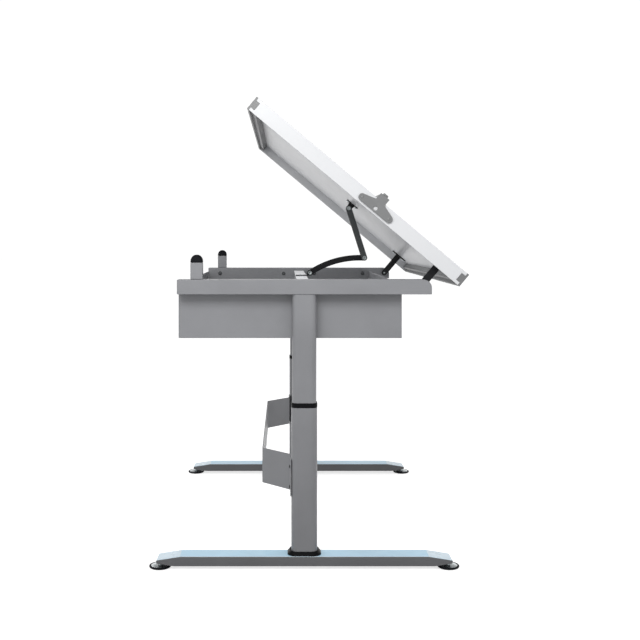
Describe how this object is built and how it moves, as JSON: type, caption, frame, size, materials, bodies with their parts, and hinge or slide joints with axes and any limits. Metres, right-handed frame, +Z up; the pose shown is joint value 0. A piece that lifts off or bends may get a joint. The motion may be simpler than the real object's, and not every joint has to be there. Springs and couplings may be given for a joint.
{
  "type": "drafting table",
  "caption": "Height-adjustable two-column drafting table with a tilting white drawing board, sliding straightedge, folding stay and open storage tray under the board.",
  "frame": {"origin": "on the floor, at the middle of the whole table's box with the board at its 40 degree rest slope; the column centres stand at X = -10 mm", "axes": "+Z up, +X towards the user, +Y along the table to the user's right"},
  "size_m": [0.9302, 1.2106, 1.3729],
  "materials": {
    "frame_paint": "satin grey powder coat",
    "tray_paint": "satin grey powder coat",
    "edge_metal": "satin grey anodised",
    "black_metal": "semi-gloss black coat",
    "dark_metal": "dark grey coat",
    "bright_metal": "zinc-plated",
    "white_laminate": "white melamine laminate on board",
    "black_rubber": "matt",
    "black_plastic": "fine moulded grain"
  },
  "bodies": {
    "base": {"foot_beam_left": "frame_paint", "lower_column_left": "frame_paint", "column_collar_left": "black_plastic", "column_guide_ring_left": "black_plastic", "lift_spring_cylinder_left": "dark_metal", "foot_beam_right": "frame_paint", "lower_column_right": "frame_paint", "column_collar_right": "black_plastic", "column_guide_ring_right": "black_plastic", "lift_spring_cylinder_right": "dark_metal", "stretcher_panel": "frame_paint"},
    "leveller_left_back": {"levelling_foot_left_back": "bright_metal", "foot_pad_left_back": "black_rubber"},
    "leveller_left_front": {"levelling_foot_left_front": "bright_metal", "foot_pad_left_front": "black_rubber"},
    "leveller_right_back": {"levelling_foot_right_back": "bright_metal", "foot_pad_right_back": "black_rubber"},
    "leveller_right_front": {"levelling_foot_right_front": "bright_metal", "foot_pad_right_front": "black_rubber"},
    "lift_frame": {"upper_column_left": "frame_paint", "lift_spring_rod_left": "bright_metal", "side_rail_left": "frame_paint", "bumper_post_left": "frame_paint", "bumper_cap_left": "black_rubber", "hinge_pin_left": "bright_metal", "tray_end_panel_left": "tray_paint", "upper_column_right": "frame_paint", "lift_spring_rod_right": "bright_metal", "side_rail_right": "frame_paint", "bumper_post_right": "frame_paint", "bumper_cap_right": "black_rubber", "hinge_pin_right": "bright_metal", "tray_end_panel_right": "tray_paint", "tray_floor": "tray_paint", "tray_back_panel": "tray_paint", "tray_front_panel": "tray_paint", "cross_beam": "frame_paint", "stay_frame_bracket": "black_metal", "stay_frame_pin": "bright_metal"},
    "board": {"end_skirt_left": "white_laminate", "hinge_bracket_left": "black_metal", "end_skirt_right": "white_laminate", "hinge_bracket_right": "black_metal", "board_panel": "white_laminate", "edge_rail_back": "edge_metal", "edge_rail_front": "edge_metal", "stay_board_bracket": "black_metal", "stay_board_pin": "bright_metal"},
    "stay_arm": {"stay_arm": "black_metal"},
    "stay_link": {"stay_link": "dark_metal"},
    "straightedge": {"straightedge_bar": "edge_metal", "straightedge_end_plate_left": "edge_metal", "straightedge_end_plate_right": "edge_metal", "straightedge_glide_left": "black_plastic", "straightedge_glide_right": "black_plastic"},
    "lock_knob_left": {"lock_knob_left": "edge_metal"},
    "lock_knob_right": {"lock_knob_right": "edge_metal"}
  },
  "joints": [
    {"name": "column_lift", "type": "slide", "parent": "base", "child": "lift_frame", "axis": [0, 0, 1], "range_m": [-0.17, 0.12]},
    {"name": "board_tilt", "type": "hinge", "parent": "lift_frame", "child": "board", "pos_m": [0.3387, 0, 0.8236], "axis": [0, 1, 0], "range_deg": [-40, 0]},
    {"name": "stay_arm_swing", "type": "hinge", "parent": "lift_frame", "child": "stay_arm", "pos_m": [0.0218, 0, 0.843], "axis": [0, 1, 0], "range_deg": [0, 12.2]},
    {"name": "stay_link_swing", "type": "hinge", "parent": "board", "child": "stay_link", "pos_m": [0.15827, 0, 1.07016], "axis": [0, 1, 0], "range_deg": [-18.93, 0]},
    {"name": "straightedge_slide", "type": "slide", "parent": "board", "child": "straightedge", "axis": [-0.766, 0, 0.6428], "range_m": [-0.24, 0.38]},
    {"name": "lock_knob_left_turn", "type": "hinge", "parent": "straightedge", "child": "lock_knob_left", "pos_m": [0.22253, -0.59, 1.08451], "axis": [0.6428, 0, 0.766], "range_deg": [0, 180]},
    {"name": "lock_knob_right_turn", "type": "hinge", "parent": "straightedge", "child": "lock_knob_right", "pos_m": [0.22253, 0.59, 1.08451], "axis": [0.6428, 0, 0.766], "range_deg": [0, 180]},
    {"name": "leveller_left_back_screw", "type": "slide", "parent": "base", "child": "leveller_left_back", "axis": [0, 0, -1], "range_m": [0, 0.006]},
    {"name": "leveller_left_front_screw", "type": "slide", "parent": "base", "child": "leveller_left_front", "axis": [0, 0, -1], "range_m": [0, 0.006]},
    {"name": "leveller_right_back_screw", "type": "slide", "parent": "base", "child": "leveller_right_back", "axis": [0, 0, -1], "range_m": [0, 0.006]},
    {"name": "leveller_right_front_screw", "type": "slide", "parent": "base", "child": "leveller_right_front", "axis": [0, 0, -1], "range_m": [0, 0.006]}
  ],
  "couplings": [
    {"joint": "stay_arm_swing", "follows": "board_tilt", "ratio": -0.3048},
    {"joint": "stay_link_swing", "follows": "board_tilt", "ratio": 0.47303}
  ]
}
